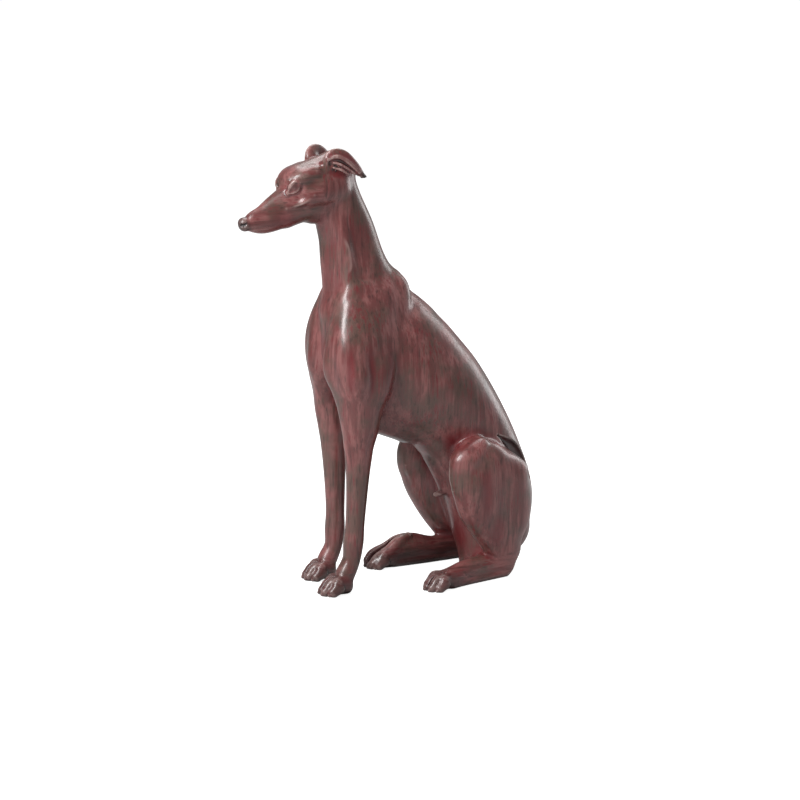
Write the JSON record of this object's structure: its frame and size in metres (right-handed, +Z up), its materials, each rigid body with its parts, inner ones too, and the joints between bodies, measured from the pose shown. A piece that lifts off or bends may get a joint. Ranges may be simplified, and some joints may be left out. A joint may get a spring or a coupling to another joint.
{
  "type": "seated greyhound figurine",
  "caption": "Slender sitting greyhound figurine with folded ears and straight forelegs, cast in one piece for display on a shelf or hearth.",
  "frame": {"origin": "on the ground, at the middle of the figure's footprint box", "axes": "+Z up, the dog faces -Y, its left side is +X"},
  "size_m": [0.1254, 0.274, 0.3801],
  "materials": {
    "lacquer": "mottled oxblood lacquer, satin to semi-gloss"
  },
  "bodies": {
    "root": {"greyhound": "lacquer"}
  },
  "joints": []
}
